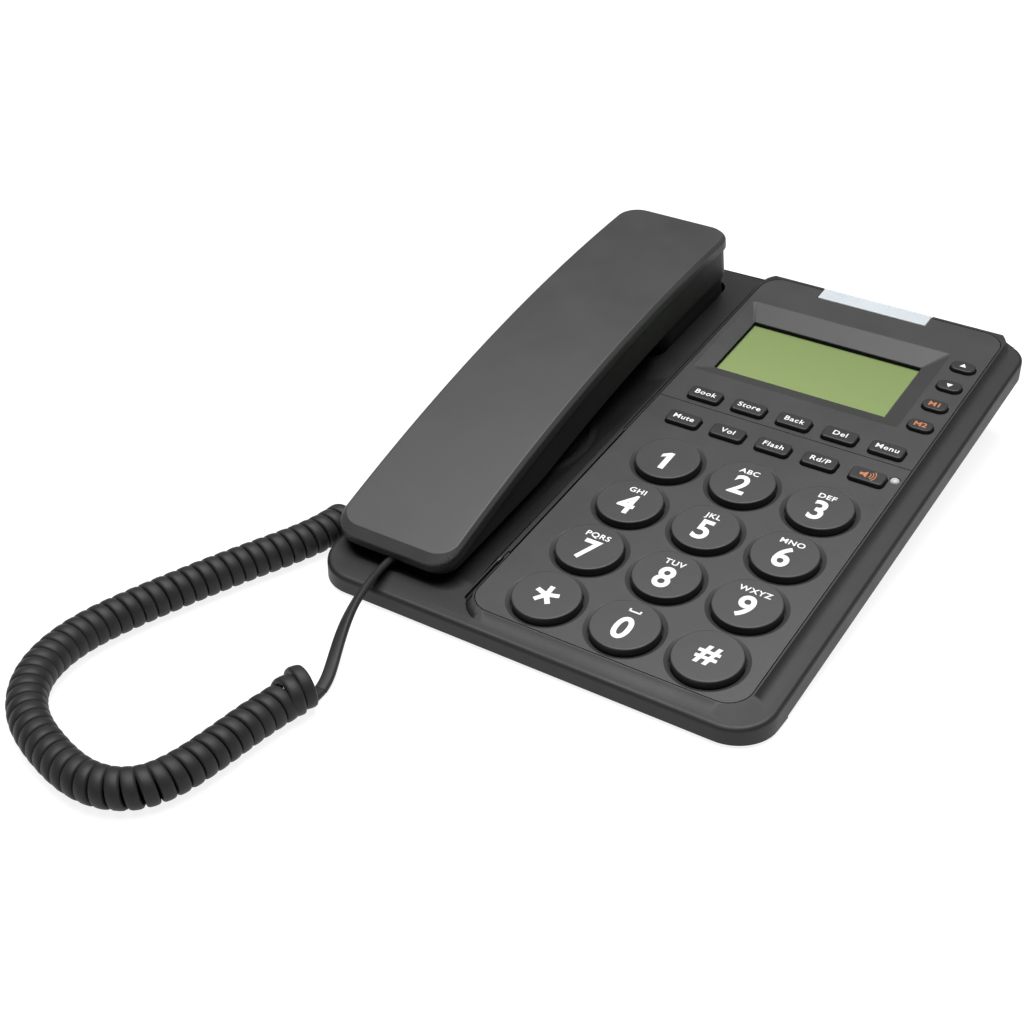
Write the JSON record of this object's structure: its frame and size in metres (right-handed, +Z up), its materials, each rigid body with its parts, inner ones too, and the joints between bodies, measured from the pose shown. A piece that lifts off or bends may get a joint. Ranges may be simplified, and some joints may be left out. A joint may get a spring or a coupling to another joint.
{
  "type": "corded caller-display telephone",
  "caption": "Corded desk telephone with a sloping base, large round number keys, a display, a handset in a side cradle and a curly cord.",
  "frame": {"origin": "on the table under the middle of the base, the cord left out", "axes": "+X to the right of someone dialling, +Y to the back of the base, +Z up"},
  "size_m": [0.2036, 0.3403, 0.0574],
  "materials": {
    "base_shell": "fine matt grain, dark grey",
    "lower_shell": "fine matt grain, dark grey",
    "fascia": "smooth satin, dark grey",
    "window": "clear plate",
    "display": "green liquid crystal panel",
    "lamp_lens": "pale milky lens",
    "status_lens": "milky lens",
    "board": "green circuit board",
    "rubber_mat": "soft matt",
    "inner_plastic": "black moulded",
    "speaker_metal": "plain pressed",
    "foot_rubber": "soft matt",
    "screw_steel": "zinc plated",
    "cell_wrap": "plain sleeve",
    "handset_top": "smooth satin, dark grey",
    "handset_under": "smooth satin, dark grey",
    "cord": "satin flexible jacket, dark grey",
    "plug": "clear moulded",
    "keys": "satin with white legend",
    "buttons": "satin with white legend"
  },
  "bodies": {
    "base": {"base_upper_shell": "base_shell", "base_lower_shell": "lower_shell", "keypad_fascia": "fascia", "display_fascia": "fascia", "display_window": "window", "display_module": "display", "message_lamp_lens": "lamp_lens", "status_lamp": "status_lens", "main_board": "board", "key_mat": "rubber_mat", "hook_switch": "inner_plastic", "loudspeaker": "speaker_metal", "handsfree_microphone": "speaker_metal", "line_jack": "inner_plastic", "base_handset_jack": "inner_plastic", "rubber_feet": "foot_rubber", "base_screws": "screw_steel", "battery_cells": "cell_wrap", "battery_contacts": "screw_steel", "curly_cord_coil": "cord", "cord_lead_base": "cord", "cord_lead_handset": "cord", "cord_plug_base": "plug"},
    "handset": {"handset_upper_shell": "handset_top", "handset_lower_shell": "handset_under", "earpiece_capsule": "speaker_metal", "mouthpiece_capsule": "speaker_metal", "handset_jack": "inner_plastic", "handset_weight": "speaker_metal", "handset_screws": "screw_steel", "cord_plug_handset": "plug"},
    "hook_plunger": {"hook_plunger": "inner_plastic"},
    "battery_door": {"battery_door": "lower_shell"},
    "key_1": {"key_1": "keys"},
    "key_2": {"key_2": "keys"},
    "key_3": {"key_3": "keys"},
    "key_4": {"key_4": "keys"},
    "key_5": {"key_5": "keys"},
    "key_6": {"key_6": "keys"},
    "key_7": {"key_7": "keys"},
    "key_8": {"key_8": "keys"},
    "key_9": {"key_9": "keys"},
    "key_star": {"key_star": "keys"},
    "key_0": {"key_0": "keys"},
    "key_hash": {"key_hash": "keys"},
    "button_book": {"button_book": "buttons"},
    "button_store": {"button_store": "buttons"},
    "button_back": {"button_back": "buttons"},
    "button_delete": {"button_delete": "buttons"},
    "button_menu": {"button_menu": "buttons"},
    "button_mute": {"button_mute": "buttons"},
    "button_volume": {"button_volume": "buttons"},
    "button_flash": {"button_flash": "buttons"},
    "button_redial": {"button_redial": "buttons"},
    "button_speaker": {"button_speaker": "buttons"},
    "button_memory_two": {"button_memory_two": "buttons"},
    "button_memory_one": {"button_memory_one": "buttons"},
    "button_down": {"button_down": "buttons"},
    "button_up": {"button_up": "buttons"}
  },
  "joints": [
    {"name": "handset_lift", "type": "slide", "parent": "base", "child": "handset", "axis": [0, 0, 1], "range_m": [0, 0.06]},
    {"name": "hook_rise", "type": "slide", "parent": "base", "child": "hook_plunger", "axis": [0, -0.1184, 0.993], "range_m": [0, 0.003]},
    {"name": "battery_door_slide", "type": "slide", "parent": "base", "child": "battery_door", "axis": [0, 1, 0], "range_m": [0, 0.009]},
    {"name": "key_1_press", "type": "slide", "parent": "base", "child": "key_1", "axis": [0, -0.1184, 0.993], "range_m": [-0.0012, 0], "stiffness_N_per_m": 800},
    {"name": "key_2_press", "type": "slide", "parent": "base", "child": "key_2", "axis": [0, -0.1184, 0.993], "range_m": [-0.0012, 0], "stiffness_N_per_m": 800},
    {"name": "key_3_press", "type": "slide", "parent": "base", "child": "key_3", "axis": [0, -0.1184, 0.993], "range_m": [-0.0012, 0], "stiffness_N_per_m": 800},
    {"name": "key_4_press", "type": "slide", "parent": "base", "child": "key_4", "axis": [0, -0.1184, 0.993], "range_m": [-0.0012, 0], "stiffness_N_per_m": 800},
    {"name": "key_5_press", "type": "slide", "parent": "base", "child": "key_5", "axis": [0, -0.1184, 0.993], "range_m": [-0.0012, 0], "stiffness_N_per_m": 800},
    {"name": "key_6_press", "type": "slide", "parent": "base", "child": "key_6", "axis": [0, -0.1184, 0.993], "range_m": [-0.0012, 0], "stiffness_N_per_m": 800},
    {"name": "key_7_press", "type": "slide", "parent": "base", "child": "key_7", "axis": [0, -0.1184, 0.993], "range_m": [-0.0012, 0], "stiffness_N_per_m": 800},
    {"name": "key_8_press", "type": "slide", "parent": "base", "child": "key_8", "axis": [0, -0.1184, 0.993], "range_m": [-0.0012, 0], "stiffness_N_per_m": 800},
    {"name": "key_9_press", "type": "slide", "parent": "base", "child": "key_9", "axis": [0, -0.1184, 0.993], "range_m": [-0.0012, 0], "stiffness_N_per_m": 800},
    {"name": "key_star_press", "type": "slide", "parent": "base", "child": "key_star", "axis": [0, -0.1184, 0.993], "range_m": [-0.0012, 0], "stiffness_N_per_m": 800},
    {"name": "key_0_press", "type": "slide", "parent": "base", "child": "key_0", "axis": [0, -0.1184, 0.993], "range_m": [-0.0012, 0], "stiffness_N_per_m": 800},
    {"name": "key_hash_press", "type": "slide", "parent": "base", "child": "key_hash", "axis": [0, -0.1184, 0.993], "range_m": [-0.0012, 0], "stiffness_N_per_m": 800},
    {"name": "button_book_press", "type": "slide", "parent": "base", "child": "button_book", "axis": [0, -0.1184, 0.993], "range_m": [-0.0012, 0], "stiffness_N_per_m": 800},
    {"name": "button_store_press", "type": "slide", "parent": "base", "child": "button_store", "axis": [0, -0.1184, 0.993], "range_m": [-0.0012, 0], "stiffness_N_per_m": 800},
    {"name": "button_back_press", "type": "slide", "parent": "base", "child": "button_back", "axis": [0, -0.1184, 0.993], "range_m": [-0.0012, 0], "stiffness_N_per_m": 800},
    {"name": "button_delete_press", "type": "slide", "parent": "base", "child": "button_delete", "axis": [0, -0.1184, 0.993], "range_m": [-0.0012, 0], "stiffness_N_per_m": 800},
    {"name": "button_menu_press", "type": "slide", "parent": "base", "child": "button_menu", "axis": [0, -0.1184, 0.993], "range_m": [-0.0012, 0], "stiffness_N_per_m": 800},
    {"name": "button_mute_press", "type": "slide", "parent": "base", "child": "button_mute", "axis": [0, -0.1184, 0.993], "range_m": [-0.0012, 0], "stiffness_N_per_m": 800},
    {"name": "button_volume_press", "type": "slide", "parent": "base", "child": "button_volume", "axis": [0, -0.1184, 0.993], "range_m": [-0.0012, 0], "stiffness_N_per_m": 800},
    {"name": "button_flash_press", "type": "slide", "parent": "base", "child": "button_flash", "axis": [0, -0.1184, 0.993], "range_m": [-0.0012, 0], "stiffness_N_per_m": 800},
    {"name": "button_redial_press", "type": "slide", "parent": "base", "child": "button_redial", "axis": [0, -0.1184, 0.993], "range_m": [-0.0012, 0], "stiffness_N_per_m": 800},
    {"name": "button_speaker_press", "type": "slide", "parent": "base", "child": "button_speaker", "axis": [0, -0.1184, 0.993], "range_m": [-0.0012, 0], "stiffness_N_per_m": 800},
    {"name": "button_memory_two_press", "type": "slide", "parent": "base", "child": "button_memory_two", "axis": [0, -0.1184, 0.993], "range_m": [-0.0012, 0], "stiffness_N_per_m": 800},
    {"name": "button_memory_one_press", "type": "slide", "parent": "base", "child": "button_memory_one", "axis": [0, -0.1184, 0.993], "range_m": [-0.0012, 0], "stiffness_N_per_m": 800},
    {"name": "button_down_press", "type": "slide", "parent": "base", "child": "button_down", "axis": [0, -0.1184, 0.993], "range_m": [-0.0012, 0], "stiffness_N_per_m": 800},
    {"name": "button_up_press", "type": "slide", "parent": "base", "child": "button_up", "axis": [0, -0.1184, 0.993], "range_m": [-0.0012, 0], "stiffness_N_per_m": 800}
  ],
  "couplings": [
    {"joint": "hook_rise", "follows": "handset_lift", "ratio": 0.05}
  ]
}
